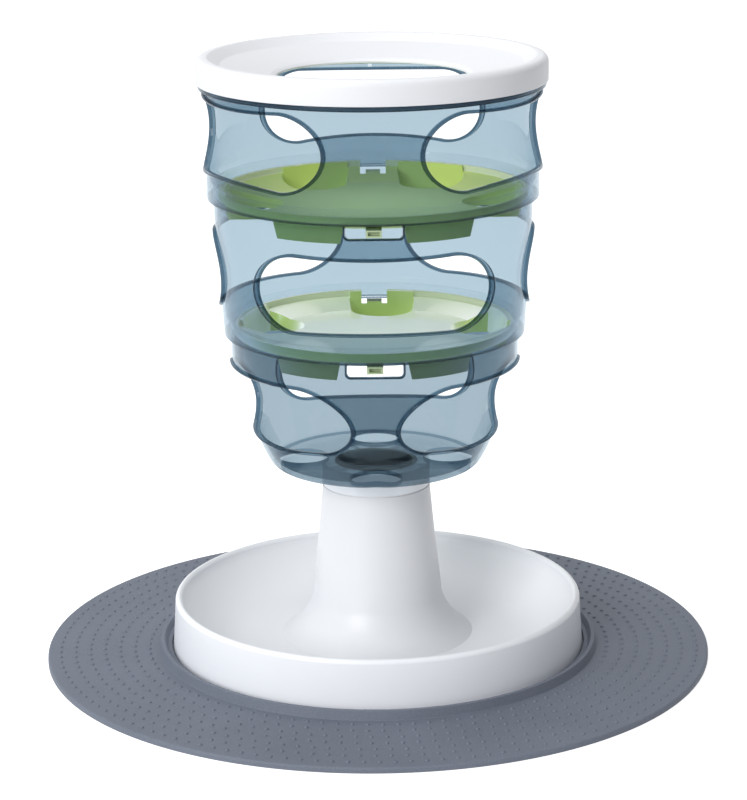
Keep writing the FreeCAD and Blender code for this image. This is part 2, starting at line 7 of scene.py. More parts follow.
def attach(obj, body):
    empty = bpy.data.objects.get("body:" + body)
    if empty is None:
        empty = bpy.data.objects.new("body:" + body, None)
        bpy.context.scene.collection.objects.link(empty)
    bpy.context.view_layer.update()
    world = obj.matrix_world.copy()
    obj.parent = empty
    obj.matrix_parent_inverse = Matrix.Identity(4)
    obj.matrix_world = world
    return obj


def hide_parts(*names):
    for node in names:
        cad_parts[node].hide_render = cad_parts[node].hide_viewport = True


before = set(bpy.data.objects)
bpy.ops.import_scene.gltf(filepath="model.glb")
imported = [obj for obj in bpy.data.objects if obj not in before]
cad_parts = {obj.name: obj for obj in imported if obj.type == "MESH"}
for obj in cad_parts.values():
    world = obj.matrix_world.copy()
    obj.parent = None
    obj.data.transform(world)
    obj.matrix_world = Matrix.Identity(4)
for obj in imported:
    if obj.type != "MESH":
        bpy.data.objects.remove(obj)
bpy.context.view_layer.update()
print("frame loaded")

mm = 0.001
front = -90.0                     # the angle of the front, seen from above
cutReach = 6.0                    # how far a cutter goes inside and outside a shell's wall
cutSlot = 1                       # cut faces take a piece's second finish


# Shader maths as plain expressions

class Wire:
    def __init__(self, look, socket):
        self.look = look
        self.socket = socket

    def __add__(self, other):
        return self.look.math("ADD", self, other)

    def __radd__(self, other):
        return self.look.math("ADD", other, self)

    def __mul__(self, other):
        return self.look.math("MULTIPLY", self, other)

    def __rmul__(self, other):
        return self.look.math("MULTIPLY", other, self)

    def __pow__(self, other):
        return self.look.math("POWER", self, other)

    def __rpow__(self, other):
        return self.look.math("POWER", other, self)


class Look:
    def __init__(self, owner):    # a new material, or the world
        owner.use_nodes = True
        self.owner = owner
        self.tree = owner.node_tree
        self.tree.nodes.clear()

    def add(self, kind, settings, sockets, out=0):
        node = self.tree.nodes.new(kind)
        for key, value in settings.items():
            if key == "stops":
                for element, (place, colour) in zip(node.color_ramp.elements, value):
                    element.position = place
                    element.color = (*colour, 1)
            else:
                setattr(node, key, value)
        for key, value in sockets.items():
            if isinstance(value, Wire):
                self.tree.links.new(value.socket, node.inputs[key])
            else:
                node.inputs[key].default_value = value
        return Wire(self, node.outputs[out])

    def math(self, operation, first, second):
        return self.add("ShaderNodeMath", {"operation": operation}, {0: first, 1: second})

    def mix(self, amount, first, second):
        return self.add("ShaderNodeMixShader", {}, {0: amount, 1: first, 2: second})

    def ramp(self, amount, low, high):
        return self.add("ShaderNodeValToRGB", {"stops": [low, high]}, {"Fac": amount})

    def noise(self, scale, detail):
        place = self.add("ShaderNodeTexCoord", {}, {}, "Object")
        return self.add("ShaderNodeTexNoise", {}, {"Vector": place, "Scale": scale, "Detail": detail})

    def bump(self, height, strength, distance):
        return self.add("ShaderNodeBump", {}, {"Height": height, "Strength": strength, "Distance": distance})

    def facing(self):             # 0 where a face is seen head-on, 1 where it is seen on edge
        return self.add("ShaderNodeLayerWeight", {}, {"Blend": 0.5}, "Facing")

    def seen(self):               # 1 where it is looked at, also in gloss or through a clear wall
        kinds = ("Camera", "Glossy", "Transmission")
        rays = [self.add("ShaderNodeLightPath", {}, {}, f"Is {kind} Ray") for kind in kinds]
        return self.math("MAXIMUM", self.math("MAXIMUM", rays[0], rays[1]), rays[2])

    def show(self, shader, kind="ShaderNodeOutputMaterial"):
        output = self.tree.nodes.new(kind)
        self.tree.links.new(shader.socket, output.inputs["Surface"])
        return self.owner


# Meshes

def makeMesh(name, points, faces, looks=()):
    mesh = bpy.data.meshes.new(name)
    mesh.from_pydata([Vector(point) * mm for point in points], [], faces)
    mesh.validate()
    turnFacesOut(mesh)
    for look in looks:
        mesh.materials.append(look)
    piece = bpy.data.objects.new(name, mesh)
    bpy.context.scene.collection.objects.link(piece)
    smooth(piece)
    return piece


def makePiece(name, points, faces, looks, body, node=None):
    # a mesh that rides on a body, and stands for a node of the frame if one is named
    piece = makeMesh(name, points, faces, looks)
    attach(piece, body)
    if node:
        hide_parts(node)
    return piece


def makeCutter(name, points, faces):
    cutter = makeMesh(name, points, faces)
    for polygon in cutter.data.polygons:
        polygon.material_index = cutSlot
    return cutter


def turnFacesOut(mesh):
    work = bmesh.new()
    work.from_mesh(mesh)
    bmesh.ops.recalc_face_normals(work, faces=work.faces)
    work.to_mesh(mesh)
    work.free()


def smooth(piece, crease=35):
    mesh = piece.data
    mesh.polygons.foreach_set("use_smooth", [True] * len(mesh.polygons))
    mesh.set_sharp_from_angle(angle=math.radians(crease))


def cutWith(piece, cutter, operation="DIFFERENCE"):
    modifier = piece.modifiers.new("cut", "BOOLEAN")
    modifier.object = cutter
    modifier.operation = operation
    modifier.solver = "EXACT"
    bpy.context.view_layer.update()
    graph = bpy.context.evaluated_depsgraph_get()
    mesh = bpy.data.meshes.new_from_object(piece.evaluated_get(graph))
    piece.modifiers.clear()
    piece.data = mesh
    bpy.data.objects.remove(cutter)


def facesOf(piece, base):
    # each face, its height over the base, its distance from the axis, and how much it faces out and up
    for polygon in piece.data.polygons:
        middle = polygon.center
        outward = polygon.normal.xy.dot(middle.xy)
        yield polygon, middle.z / mm - base, middle.xy.length / mm, outward, polygon.normal.z


# Outlines and turned bodies

def bow(start, end, radius, turn, step=6):
    # points of the short arc from start to just before end, one about every step degrees
    chord = end - start
    half = chord.length / 2
    rise = math.sqrt(max(radius * radius - half * half, 0))
    across = Vector((-chord.y, chord.x)).normalized()
    centre = start + chord * 0.5 + across * rise * turn
    first = math.atan2(start.y - centre.y, start.x - centre.x)
    sweep = 2 * math.asin(min(half / radius, 1)) * turn
    count = max(3, round(abs(math.degrees(sweep)) / step))
    angles = [first + sweep * k / count for k in range(count)]
    return [centre + radius * Vector((math.cos(angle), math.sin(angle))) for angle in angles]


def fillet(before, here, after, radius):
    inward = (before - here).normalized()
    outward = (after - here).normalized()
    reach = radius / math.tan(inward.angle(outward) / 2)
    start = here + inward * reach
    end = here + outward * reach
    turn = 1 if inward.x * outward.y - inward.y * outward.x < 0 else -1
    return [*bow(start, end, radius, turn, step=10), end]


def outline(corners):
    # (r, z) is sharp, (r, z, round) is rounded off, (r, z, radius, turn) starts an arc
    points = []
    for index, corner in enumerate(corners):
        here = Vector(corner[:2])
        before = Vector(corners[index - 1][:2])
        after = Vector(corners[(index + 1) % len(corners)][:2])
        if len(corner) == 3:
            points += fillet(before, here, after, corner[2])
        elif len(corner) == 4:
            points += bow(here, after, *corner[2:])
        else:
            points.append(here)
    return points


def lathe(corners, height=0, segments=256):
    # a closed half section turned about the upright axis
    points = []
    faces = []
    rings = []
    for r, z in outline(corners):
        if r < 1e-6:              # a point on the axis stands for its whole ring
            rings.append([len(points)] * segments)
            points.append((0, 0, z + height))
            continue
        rings.append(list(range(len(points), len(points) + segments)))
        for k in range(segments):
            angle = 2 * math.pi * k / segments
            points.append((r * math.cos(angle), r * math.sin(angle), z + height))
    for index, ring in enumerate(rings):
        other = rings[(index + 1) % len(rings)]
        if ring[0] == ring[1] and other[0] == other[1]:
            continue
        for k in range(segments):
            following = (k + 1) % segments
            loop = [ring[k], ring[following], other[following], other[k]]
            faces.append([point for place, point in enumerate(loop) if point not in loop[:place]])
    return points, faces


def solidOf(name, low, high):
    # an upright cutter between two outlines with the same number of points
    count = len(low)
    faces = [list(range(count))[::-1], list(range(count, 2 * count))]
    for k in range(count):
        following = (k + 1) % count
        faces.append([k, following, following + count, k + count])
    return makeCutter(name, low + high, faces)


def prismOf(name, corners, foot, top):
    return solidOf(name, [(x, y, foot) for x, y in corners], [(x, y, top) for x, y in corners])


# Slots and lips on a curved wall

endSteps = 40                     # steps round each end of a lip
cutEndSteps = 26                  # columns over each end of a slot
flatSteps = 24                    # steps along the straight between the ends


def onWall(angle, across, z, radius, rise):
    # a point over the wall: across the opening, at height z, rise straight off the wall
    turn = angle + math.asin(max(-1, min(1, across / radius)))
    return Vector(((radius + rise) * math.cos(turn), (radius + rise) * math.sin(turn), z))


def alongWall(lines):
    # the radius of a wall given as (height, radius) corners
    def radiusAt(height):
        for (lowZ, lowR), (highZ, highR) in zip(lines, lines[1:]):
            if height <= highZ:
                return lowR + (highR - lowR) * (height - lowZ) / (highZ - lowZ)
        return lines[-1][1]
    return radiusAt


def bowed(across, z, centre, reach, bows):
    # a slot's long edges come together along its middle: bows are for the top and the foot
    share = max(1 - (across / reach) ** 2, 0)
    return z - bows[0] * share if z > centre else z + bows[1] * share


def slotPath(centre, half, radius, bows):
    # (across, height) and the outward direction at each step of a slot with round ends
    reach = half - radius
    path = []
    for side in (1, -1):
        for k in range(endSteps + 1):
            angle = math.pi * (k / endSteps - 0.5)
            direction = (side * math.cos(angle), side * math.sin(angle))
            path.append((side * reach + radius * direction[0], centre + radius * direction[1], direction))
        for k in range(1, flatSteps):
            share = 1 - 2 * k / flatSteps
            path.append((side * share * reach, centre + side * radius, (0, side)))
    return [(across, bowed(across, z, centre, reach, bows), direction) for across, z, direction in path]


def slotSpans(centre, half, radius, bows):
    # the same slot as columns of (across, low, high)
    reach = half - radius
    spans = []
    for k in range(cutEndSteps + 1):
        across = -reach - radius * math.cos(math.pi / 2 * k / cutEndSteps)
        rise = max(math.sqrt(max(radius * radius - (across + reach) ** 2, 0)), 0.02)     # never quite flat
        spans.append((across, centre - rise, centre + rise))
    for k in range(1, flatSteps):
        spans.append((-reach + 2 * reach * k / flatSteps, centre - radius, centre + radius))
    spans += [(-across, low, high) for across, low, high in spans[:cutEndSteps + 1][::-1]]
    return [
        (across, bowed(across, low, centre, reach, bows), bowed(across, high, centre, reach, bows))
        for across, low, high in spans
    ]


def windowPath(half, foot, head, radius):
    # like slotPath, for the sides and the foot of a window, from one top end to the other
    steps = 8
    path = [(-half, head, (-1, 0))]
    for side, start in ((-1, 180), (1, 270)):
        for k in range(steps + 1):
            angle = math.radians(start + 90 * k / steps)
            direction = (math.cos(angle), math.sin(angle))
            across = side * (half - radius) + radius * direction[0]
            path.append((across, foot + radius * (1 + direction[1]), direction))
    return [*path, (half, head, (1, 0))]


def windowSpans(half, foot, head):
    # the window as columns, its two lower corners cut off
    corner = 1.0
    right = [
        (half / 2, foot, head), (half - corner, foot, head), (half - corner / 2, foot + corner / 2, head),
        (half, foot + corner, head),
    ]
    left = [(-across, low, high) for across, low, high in right[::-1]]
    return [*left, (0, foot, head), *right]


def wallCut(name, angle, spans, wallRadius):
    # a cutter over columns of (across, low, high), its sides square to the wall
    points = []
    for across, low, high in spans:
        for rise, z in ((-cutReach, low), (-cutReach, high), (cutReach, high), (cutReach, low)):
            points.append(onWall(angle, across, z, wallRadius(z), rise))
    last = len(points) - 4
    faces = [[0, 1, 2, 3], [last + k for k in (3, 2, 1, 0)]]
    for start in range(0, last, 4):
        for side in range(4):
            beside = (side + 1) % 4
            faces.append([start + side, start + 4 + side, start + 4 + beside, start + beside])
    return makeCutter(name, points, faces)


def sweptLip(angle, path, wallRadius, section, closed=True):
    # the section (outward from the opening, off the wall) carried round the opening
    points = []
    for across, z, direction in path:
        for shift, rise in section:
            height = z + direction[1] * shift
            points.append(onWall(angle, across + direction[0] * shift, height, wallRadius(height), rise))
    size = len(section)
    count = len(path)
    faces = [] if closed else [list(range(size)), list(range((count - 1) * size, count * size))]
    for k in range(count if closed else count - 1):
        here = k * size
        there = (k + 1) % count * size
        for side in range(size):
            beside = (side + 1) % size
            faces.append([here + side, here + beside, there + beside, there + side])
    return points, faces


# Wells in a disc

levelShare = 0.98                 # a well's share of its full size at its level
wellTaper = 0.0125                # how much that share grows with each mm of height


def wellAxes(angle, heading, reach):
    # the middle of a well, its way out to the rim, and the way across that
    turn = math.radians(angle)
    way = math.radians(heading)
    middle = Vector((reach * math.cos(turn), reach * math.sin(turn)))
    along = Vector((math.cos(way), math.sin(way)))
    return middle, along, Vector((-along.y, along.x))


def wellShape(axes, radius, outer):
    # the round-ended well, ended by the outer circle
    middle, along, across = axes
    steps = 36
    near = []
    far = []
    for k in range(steps + 1):
        y = radius * math.sin(math.pi * (k / steps - 0.5))
        start = -math.sqrt(max(radius * radius - y * y, 0))
        end = math.sqrt(max(outer * outer - (middle.dot(across) + y) ** 2, 0)) - middle.dot(along)
        if end > start + 0.05:
            near.append(middle + along * start + across * y)
            far.append(middle + along * end + across * y)
    return near + far[::-1]


def rimPart(axes, half, inner, outer):
    # the part of a ring that stands behind a well
    middle, along, across = axes
    steps = 12
    places = [middle.dot(across) + half * (2 * k / steps - 1) for k in range(steps + 1)]
    near = [along * math.sqrt(inner * inner - y * y) + across * y for y in places]
    far = [along * math.sqrt(outer * outer - y * y) + across * y for y in places]
    return near + far[::-1]


def taperOf(name, corners, middle, foot, top, level):
    # like a prism, but narrowing downward about the middle of the well
    rings = []
    for z in (foot, top):
        share = levelShare + wellTaper * (z - level)
        rings.append([(*(middle + (corner - middle) * share), z) for corner in corners])
    return solidOf(name, *rings)


print("helpers ready")


# Finishes

def makeClear(name, plain, steep, shine):
    # a thin tinted wall: the tint deepens where the wall is seen on edge
    look = Look(bpy.data.materials.new(name))
    facing = look.facing()
    thin = look.add("ShaderNodeBsdfTransparent", {}, {"Color": (*plain, 1)})
    thick = look.add("ShaderNodeBsdfTransparent", {}, {"Color": (*steep, 1)})
    bump = look.bump(look.noise(scale=420.0, detail=2.0), strength=0.02, distance=0.0002)
    gloss = look.add("ShaderNodeBsdfGlossy", {}, {
        "Color": (0.93, 0.97, 1, 1), "Roughness": 0.04, "Normal": bump,
    })
    body = look.mix(facing ** 3.0 * 0.6, thin, thick)
    return look.show(look.mix(facing ** 5.0 * shine + 0.015, body, gloss))


def makePlastic(
        name, base, deep, grain, bump, roughness=0.4, coat=0.0, level=0.5, pale=None, paintedLight=0.0, glow=0.0):
    # a moulded plastic with faint flow marks and a fine skin; pale is a painted sheen where it is seen on
    # edge, and glow makes it glow
    look = Look(bpy.data.materials.new(name))
    cloud = look.noise(scale=9.0, detail=3.0)
    skin = {
        "Roughness": cloud * 0.08 + (roughness - 0.04), "Coat Weight": coat, "Coat Roughness": 0.08,
        "Normal": look.bump(look.noise(scale=grain, detail=2.0), strength=bump, distance=0.0002),
        "Specular IOR Level": level,
    }
    colour = look.ramp(cloud, (0.35, deep), (0.65, base))
    shader = look.add("ShaderNodeBsdfPrincipled", {}, {"Base Color": colour, **skin})
    # painted light: the pale mix stands for sheen and glow, not for a colour of the plastic
    if pale:
        edge = look.ramp(cloud, (0.3, tuple(0.96 * value for value in pale)), (0.7, pale))
        light = look.add("ShaderNodeBsdfPrincipled", {}, {
            "Base Color": edge, "Emission Color": edge, "Emission Strength": glow, **skin,
        })
        amount = look.math("MINIMUM", look.facing() ** 2.0 * paintedLight, 1.0)
        shader = look.mix(amount, shader, light)
    return look.show(shader)


def makeRubber(name, base, deep):
    look = Look(bpy.data.materials.new(name))
    cloud = look.noise(scale=14.0, detail=4.0)
    speck = look.noise(scale=1600.0, detail=3.0)
    colour = look.ramp(cloud * 0.4 + speck * 0.6, (0.36, deep), (0.64, base))
    bump = look.bump(speck, strength=0.25, distance=0.0003)
    return look.show(look.add("ShaderNodeBsdfPrincipled", {}, {
        "Base Color": colour, "Roughness": cloud * 0.1 + 0.58, "Normal": bump,
    }))


clearWall = makeClear("clear wall", (0.609, 0.694, 0.742), (0.37, 0.47, 0.54), 0.8)
clearBowl = makeClear("clear bowl", (0.535, 0.607, 0.65), (0.29, 0.38, 0.44), 0.8)
clearNeck = makeClear("clear neck", (0.965, 0.975, 0.98), (0.85, 0.89, 0.91), 0.5)
# the clear edge is darker for the thicker plastic of lips and edges, and partly painted shade for the light
# that they bend away
clearEdge = makeClear("clear edge", (0.25, 0.345, 0.415), (0.08, 0.12, 0.15), 0.8)

greenSkin = {"grain": 900.0, "bump": 0.03}
# the pale of these two greens is a painted sheen, and the glossy one's glow is painted light on the lower
# disc
greenHigh = makePlastic(
    "green plastic", (0.64, 0.80, 0.22), (0.61, 0.77, 0.21), **greenSkin, roughness=0.45, level=0.2,
    pale=(0.67, 0.82, 0.40), paintedLight=1.1, glow=0.015)
greenLow = makePlastic(
    "green plastic, glossy", (0.57, 0.75, 0.22), (0.54, 0.72, 0.21), **greenSkin, roughness=0.22, coat=1.0,
    pale=(0.97, 1.0, 0.98), paintedLight=2.9, glow=0.27)
# painted sheen: a paler copy of the green for the inner faces of the discs' rims
greenPaintedSheen = makePlastic(
    "green plastic, rim, painted sheen", (0.72, 0.80, 0.58), (0.69, 0.77, 0.55), **greenSkin, coat=0.1, level=0.4,
    pale=(0.88, 0.92, 0.80), paintedLight=1.5, glow=0.05)
# painted shade: a darker copy of the green for the tabs, which sit in shade
greenPaintedShade = makePlastic(
    "green plastic, tab, painted shade", (0.40, 0.50, 0.30), (0.36, 0.46, 0.27), **greenSkin, roughness=0.45)

whiteSkin = {"grain": 700.0, "bump": 0.04}
white = makePlastic("white plastic", (0.875, 0.89, 0.925), (0.86, 0.875, 0.91), **whiteSkin, coat=0.06)
# painted shade: a darker copy of the white, for the lid and the column
whitePaintedShade = makePlastic(
    "white plastic, lid, painted shade", (0.79, 0.80, 0.825), (0.775, 0.785, 0.81), **whiteSkin, coat=0.06)
# the next two glow a little, for the light that reaches them through the clear walls
whiteTop = makePlastic(
    "white plastic, spigot", (0.81, 0.83, 0.87), (0.795, 0.815, 0.855), **whiteSkin, level=0.3,
    pale=(0.8, 0.83, 0.87), paintedLight=60.0, glow=0.7)
whiteNeck = makePlastic(
    "white plastic, neck", (0.81, 0.83, 0.87), (0.795, 0.815, 0.855), **whiteSkin, coat=0.06,
    pale=(0.81, 0.83, 0.87), paintedLight=60.0, glow=0.12)
rubber = makeRubber("grey rubber", (0.165, 0.187, 0.235), (0.118, 0.136, 0.174))
print("finishes made")


# Mat: a flat disc, a low ring round the dish and rings of small domes

mat = {
    "radius": 177.5, "thick": 3.0, "edge": 1.2, "segments": 360,
    "ringFoot": 118.0, "ringOuter": 116.8, "ringInner": 114.9, "ringTop": 8.0, "ringRound": 0.5,
    "step": 5.0, "stepRadius": 113.2, "stepRound": 0.4, "seat": 111.0, "seatRound": 0.3,
    "domeRadius": 1.1, "domeHeight": 0.85, "domeSides": 12, "domeSink": 0.02,
    "firstRing": 123.4, "lastRing": 171.0, "rings": 7, "apart": 7.7,
}


def buildMat():
    points, faces = lathe([
        (0, 0), (mat["radius"], 0), (mat["radius"], mat["thick"], mat["edge"]),
        (mat["ringFoot"], mat["thick"], mat["ringRound"]),
        (mat["ringOuter"], mat["ringTop"], mat["ringRound"]),
        (mat["ringInner"], mat["ringTop"], mat["ringRound"]),
        (mat["stepRadius"], mat["step"], mat["stepRound"]), (mat["seat"], mat["step"], mat["stepRound"]),
        (mat["seat"], mat["thick"], mat["seatRound"]), (0, mat["thick"]),
    ], segments=mat["segments"])
    makePiece("mat_sheet", points, faces, [rubber], "mat", "mat")
    points = []
    faces = []
    for ring in range(mat["rings"]):
        share = ring / (mat["rings"] - 1)
        radius = mat["firstRing"] + (mat["lastRing"] - mat["firstRing"]) * share
        count = round(2 * math.pi * radius / mat["apart"])
        for k in range(count):
            angle = 2 * math.pi * (k + 0.5 * (ring % 2)) / count
            addDome(points, faces, radius * math.cos(angle), radius * math.sin(angle))
    makePiece("mat_domes", points, faces, [rubber], "mat")


def addDome(points, faces, x, y):
    base = len(points)
    sides = mat["domeSides"]
    for width, height in ((1.0, 0.0), (0.86, 0.5), (0.5, 0.87)):
        reach = mat["domeRadius"] * width
        z = mat["thick"] - mat["domeSink"] + mat["domeHeight"] * height
        for k in range(sides):
            angle = 2 * math.pi * k / sides
            points.append((x + reach * math.cos(angle), y + reach * math.sin(angle), z))
    top = len(points)
    points.append((x, y, mat["thick"] + mat["domeHeight"]))
    for low in (base, base + sides):
        for k in range(sides):
            following = (k + 1) % sides
            faces.append([low + k, low + following, low + sides + following, low + sides + k])
    for k in range(sides):
        faces.append([top - sides + k, top - sides + (k + 1) % sides, top])


buildMat()
print("mat built")


# Dish: skirt, trough and column in one wall

dish = {
    "base": 3.0, "segments": 320, "wall": 2.6,
    "skirtFoot": 110.2, "skirtTop": 108.6, "rim": 25.9,                 # rim: where its rounded top starts
    "crown": 106.5, "crownTop": 28.5, "rimInner": 104.4, "rimRound": 2.6,
    "trough": 70.0, "troughFloor": 6.0, "foot": 51.0, "footRound": 38.0,
    "waist": 34.8, "waistHeight": 27.5, "shoulder": 30.6, "shoulderHeight": 66.0,
    "spigot": 28.5, "spigotFoot": 88.7, "groove": 0.5, "grooveTop": 89.5, "top": 101.5, "bore": 22.0,
    "boreFoot": 90.1, "throat": 87.5,                                   # the inside narrows between them
    "skirtRound": 0.8, "topRound": 0.5,
    "topFaces": 101.0, "neckFaces": 89.6, "columnFaces": 5.5, "columnReach": 50.9,
}


def buildDish():
    wall = dish["wall"]
    rim = dish["rim"]
    foot = dish["foot"]
    floor = dish["troughFloor"]
    spigot = dish["spigot"]
    grooved = spigot - dish["groove"]
    run = dish["rimInner"] - dish["trough"]
    climb = rim - floor
    sweep = (run * run + climb * climb) / (climb * 2)                   # radius of the trough's side
    points, faces = lathe([
        (dish["skirtFoot"], 0, dish["skirtRound"]), (dish["skirtTop"], rim, dish["rimRound"], 1),
        (dish["crown"], dish["crownTop"], dish["rimRound"], 1), (dish["rimInner"], rim, sweep, -1),
        (dish["trough"], floor), (foot, floor, dish["footRound"], -1),
        (dish["waist"], dish["waistHeight"]), (dish["shoulder"], dish["shoulderHeight"]),
        (spigot, dish["spigotFoot"]), (grooved, dish["spigotFoot"]),
        (grooved, dish["grooveTop"]), (spigot, dish["grooveTop"]), (spigot, dish["top"], dish["topRound"]),
        (dish["bore"], dish["top"]), (dish["bore"], dish["boreFoot"]),  # from here down the inside
        (spigot - wall, dish["throat"]), (dish["shoulder"] - wall, dish["shoulderHeight"]),
        (dish["waist"] - wall, dish["waistHeight"], dish["footRound"] + wall, 1),
        (foot - wall, floor - wall), (foot - wall, 0), (foot, 0), (foot, floor - wall),
        (dish["trough"], floor - wall, sweep + wall, 1),
        (dish["skirtTop"] - wall, rim - wall), (dish["skirtFoot"] - wall, 0),
    ], dish["base"], dish["segments"])
    looks = [white, whitePaintedShade, whiteTop, whiteNeck]
    body = makePiece("dish_body", points, faces, looks, "dish", "dish")
    for face, height, radius, outward, up in facesOf(body, dish["base"]):
        if height > dish["topFaces"] and up > 0.5:
            face.material_index = looks.index(whiteTop)
        elif height > dish["neckFaces"] and outward > 0:
            face.material_index = looks.index(whiteNeck)
        # the column's faces take the painted shade
        elif height > dish["columnFaces"] and radius < dish["columnReach"]:
            face.material_index = looks.index(whitePaintedShade)


buildDish()
print("dish built")


# Shells: a turned wall, three lipped openings, and windows for the disc tabs

lip = {
    "middle": 0.75,               # the wall is cut under the middle of the lip
    "section": [
        (0.15, -1.7), (0.0, -1.3), (0.0, 0.9), (0.15, 1.4), (0.5, 1.7),
        (1.0, 1.7), (1.35, 1.4), (1.5, 0.9), (1.5, -1.3), (1.35, -1.7),
    ],
}

windowFrame = {
    "inset": 0.3, "corner": 1.8, "gap": 0.1,                                    # gap: below the neck
    "section": [(0.0, -1.9), (0.0, 0.2), (0.3, 0.4), (0.6, 0.4), (0.9, 0.2), (0.9, -1.9)],
}

shellParts = {
    "socket": 22.6,               # faces nearer the axis are the bowl's socket
    "flange": 86.1,               # faces further out are the flange
    "footRing": 52.0, "footTop": 1.0,                                           # the foot's lower faces
}

# centre, half, round and bows shape a shell's openings: their height, half length, end radius and bowed edges
shells = {
    "lower_shell": {
        "base": 104.5, "atBack": True, "centre": 38.0, "half": 51.8, "round": 17.6, "bows": (0.2, -1.8),
        "wall": [(0, 55.0), (18.0, 62.8), (58.5, 75.2), (90, 75.2)],            # (height, radius)
        "section": [
            (0, 0), (19.5, 0), (19.5, -10), (21.7, -10), (21.7, 0),             # socket for the spigot
            (51.5, 0, 6, 1), (56.3, 3.2, 60, 1), (62.8, 18), (75.2, 58.5),      # belly
            (75.2, 71.5), (75.2, 79.5, 0.5), (73.8, 79.5, 0.5), (73.8, 71.5),   # neck
            (70.9, 71.5, 0.3), (70.9, 69.7, 0.3), (73.7, 67.6), (73.6, 58.5),   # ledge for the disc
            (61.3, 18, 58.5, -1), (54.8, 4.8, 5.2, -1), (50.4, 2.5),            # inside of the belly
            (20.8, 2.5), (18.4, 4.9), (0, 4.9),                                 # floor
        ],
        "window": (14.6, 64.2), "neckFoot": 71.5, "finish": clearBowl,          # window: half width, foot
        "holes": [(38.5, 0), (0, 37), (-38.5, 0), (0, -41)], "holeRadius": 13.5, "holeFoot": -3.0,
    },
    "middle_shell": {
        "base": 176.0, "atBack": False, "centre": 35.0, "half": 58.6, "round": 19.3, "bows": (0.8, 0.8),
        "wall": [(0, 78.7), (64.0, 82.5), (90, 82.5)],
        "section": [
            (75.5, 0, 0.5), (78.7, 0, 0.5), (82.5, 64),                         # foot and wall
            (82.5, 72), (82.5, 80, 0.5), (81.1, 80, 0.5), (81.1, 72),           # neck
            (78.2, 72, 0.3), (78.2, 70.2, 0.3), (81.0, 68.2), (81.0, 64),       # ledge for the disc
            (77.8, 10, 3), (75.5, 7, 2),                                        # seat on the shell below
        ],
        "window": (14.6, 64.7), "neckFoot": 72.0, "finish": clearWall, "holes": [],
    },
    "upper_shell": {
        "base": 248.0, "atBack": True, "centre": 34.0, "half": 58.6, "round": 19.1, "bows": (1.2, 2.2),
        "wall": [(0, 86.0), (90, 86.0)],
        "section": [
            (82.8, 0, 0.5), (86, 0, 0.5),                                       # foot
            (86, 57, 0.6), (89.5, 57, 0.5), (89.5, 59.3, 0.5), (84.5, 59.3),    # flange under the lid
            (84.5, 10, 2), (82.8, 7, 2),                                        # seat on the shell below
        ],
        "window": None, "neckFoot": 90.0, "finish": clearWall, "holes": [],     # over its top: it has no neck
    },
}


def buildShell(name, spec):
    looks = [spec["finish"], clearEdge, clearNeck]
    points, faces = lathe(spec["section"], spec["base"])
    shell = makePiece(f"{name}_wall", points, faces, looks, name, name)
    paintShell(shell, spec, looks)
    wallRadius = alongWall([(z + spec["base"], r) for z, r in spec["wall"]])
    cutOpenings(shell, spec, wallRadius)
    if spec["window"]:
        cutWindows(shell, name, spec, wallRadius)
    for x, y in spec["holes"]:
        cutHole(shell, spec, x, y)
    smooth(shell, 38)
    print(name, "built,", len(shell.data.polygons), "faces")


def paintShell(shell, spec, looks):
    for face, height, radius, _, up in facesOf(shell, spec["base"]):
        underFoot = up < -0.5 and height < shellParts["footTop"] and radius > shellParts["footRing"]
        if height > spec["neckFoot"] or radius < shellParts["socket"]:
            face.material_index = looks.index(clearNeck)
        # the flange and the foot's underside take the clear edge, partly painted shade
        elif radius > shellParts["flange"] or underFoot:
            face.material_index = looks.index(clearEdge)


def cutOpenings(shell, spec, wallRadius):
    centre = spec["centre"] + spec["base"]
    half = spec["half"]
    end = spec["round"]
    bows = spec["bows"]
    middle = lip["middle"]
    first = math.radians(-front if spec["atBack"] else front)
    for third in range(3):
        angle = first + 2 * math.pi * third / 3
        spans = slotSpans(centre, half + middle, end + middle, bows)
        cutWith(shell, wallCut("gap", angle, spans, wallRadius))
        points, faces = sweptLip(angle, slotPath(centre, half, end, bows), wallRadius, lip["section"])
        cutWith(shell, makeCutter("lip", points, faces), "UNION")


def cutWindows(shell, name, spec, wallRadius):
    half = spec["window"][0]
    foot = spec["window"][1] + spec["base"]
    head = spec["base"] + spec["neckFoot"] - windowFrame["gap"]
    inset = windowFrame["inset"]
    for where, side in (("front", 1), ("back", -1)):
        angle = math.radians(front * side)
        cutWith(shell, wallCut("window", angle, windowSpans(half, foot, head), wallRadius))
        path = windowPath(half - inset, foot + inset, head, windowFrame["corner"])
        points, faces = sweptLip(angle, path, wallRadius, windowFrame["section"], closed=False)
        makePiece(f"{name}_frame_{where}", points, faces, [clearEdge], name)


def cutHole(shell, spec, x, y):
    sides = 64
    radius = spec["holeRadius"]
    angles = [2 * math.pi * k / sides for k in range(sides)]
    rim = [(x + radius * math.cos(angle), y + radius * math.sin(angle)) for angle in angles]
    cutWith(shell, prismOf("hole", rim, spec["base"] + spec["holeFoot"], spec["base"] + cutReach))


for shellName, shellSpec in shells.items():
    buildShell(shellName, shellSpec)


# Food discs: a dished plate, drop wells with collars, notches and tabs

